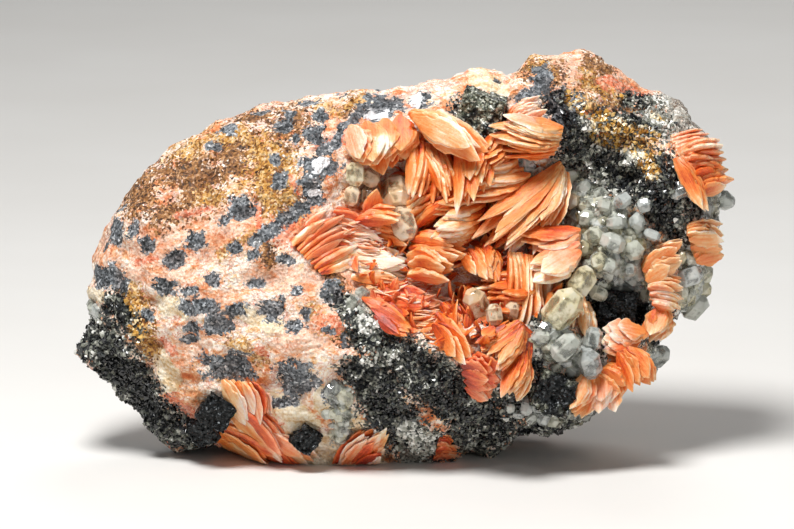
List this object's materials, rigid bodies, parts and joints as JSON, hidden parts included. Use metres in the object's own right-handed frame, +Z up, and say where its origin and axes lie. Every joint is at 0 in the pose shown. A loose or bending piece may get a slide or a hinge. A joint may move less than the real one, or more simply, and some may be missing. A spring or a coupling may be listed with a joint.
{
  "type": "barite on matrix mineral specimen",
  "caption": "Broken block of ore-spotted vein rock with fans of orange bladed barite and clear cerussite crystals in pockets on its display face",
  "frame": {"origin": "on the ground under the middle of the block's bounding box", "axes": "+X right across the display face, +Y from the display face into the block, +Z up"},
  "size_m": [0.0966, 0.051, 0.059],
  "materials": {
    "matrix": "rough broken rock, cream to salmon, spotted with dark ore",
    "barite": "waxy translucent orange blades",
    "cerussite": "clear to pale yellow, adamantine",
    "galena": "dark grey metallic, finely granular"
  },
  "bodies": {
    "root": {"matrix": "matrix", "barite_pocket": "barite", "barite_right_book": "barite", "barite_right_ruffle": "barite", "barite_right_lens": "barite", "barite_lower_right_fan": "barite", "barite_lower_left_vein": "barite", "barite_foot_patch": "barite", "cerussite_pocket_tan": "cerussite", "cerussite_pocket_left": "cerussite", "cerussite_pocket_roof": "cerussite", "cerussite_pocket_pair": "cerussite", "cerussite_yellow_block": "cerussite", "cerussite_grey_block": "cerussite", "cerussite_right_edge": "cerussite", "cerussite_lower_corner": "cerussite", "cerussite_foot": "cerussite", "cerussite_druse": "cerussite", "galena_crest_block": "galena", "galena_cavity_cube": "galena", "galena_lower_cube": "galena", "galena_left_block": "galena", "galena_foot_block": "galena"}
  },
  "joints": []
}
